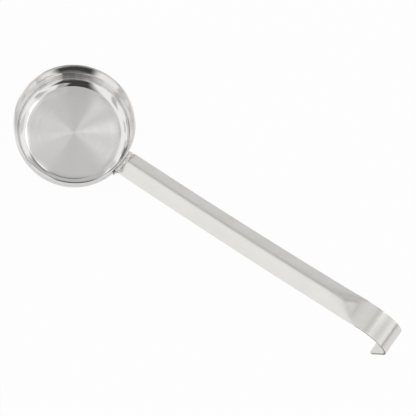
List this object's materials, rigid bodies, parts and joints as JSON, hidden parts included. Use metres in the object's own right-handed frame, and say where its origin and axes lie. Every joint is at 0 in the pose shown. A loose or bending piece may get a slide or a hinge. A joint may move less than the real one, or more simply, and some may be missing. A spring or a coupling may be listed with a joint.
{
  "type": "ladle",
  "caption": "Flat-bottomed round sauce ladle with a stepped bowl, a ridged strip handle welded to its side and a hook on the handle's end.",
  "frame": {"origin": "middle of the flat underside of the bowl", "axes": "+Z along the bowl's axis, out of its mouth; +X from the bowl's axis towards the handle and its hook; +Y across the handle"},
  "size_m": [0.3509, 0.1016, 0.1528],
  "materials": {
    "bowl_steel": "stainless steel sheet, mirror polished on the wall, spun with fine rings on the floor",
    "handle_steel": "stainless steel strip with a fine satin grain along its length",
    "weld_steel": "rippled stainless weld metal, lightly cleaned"
  },
  "bodies": {
    "root": {"bowl": "bowl_steel", "handle": "handle_steel", "weld_bead": "weld_steel"}
  },
  "joints": []
}
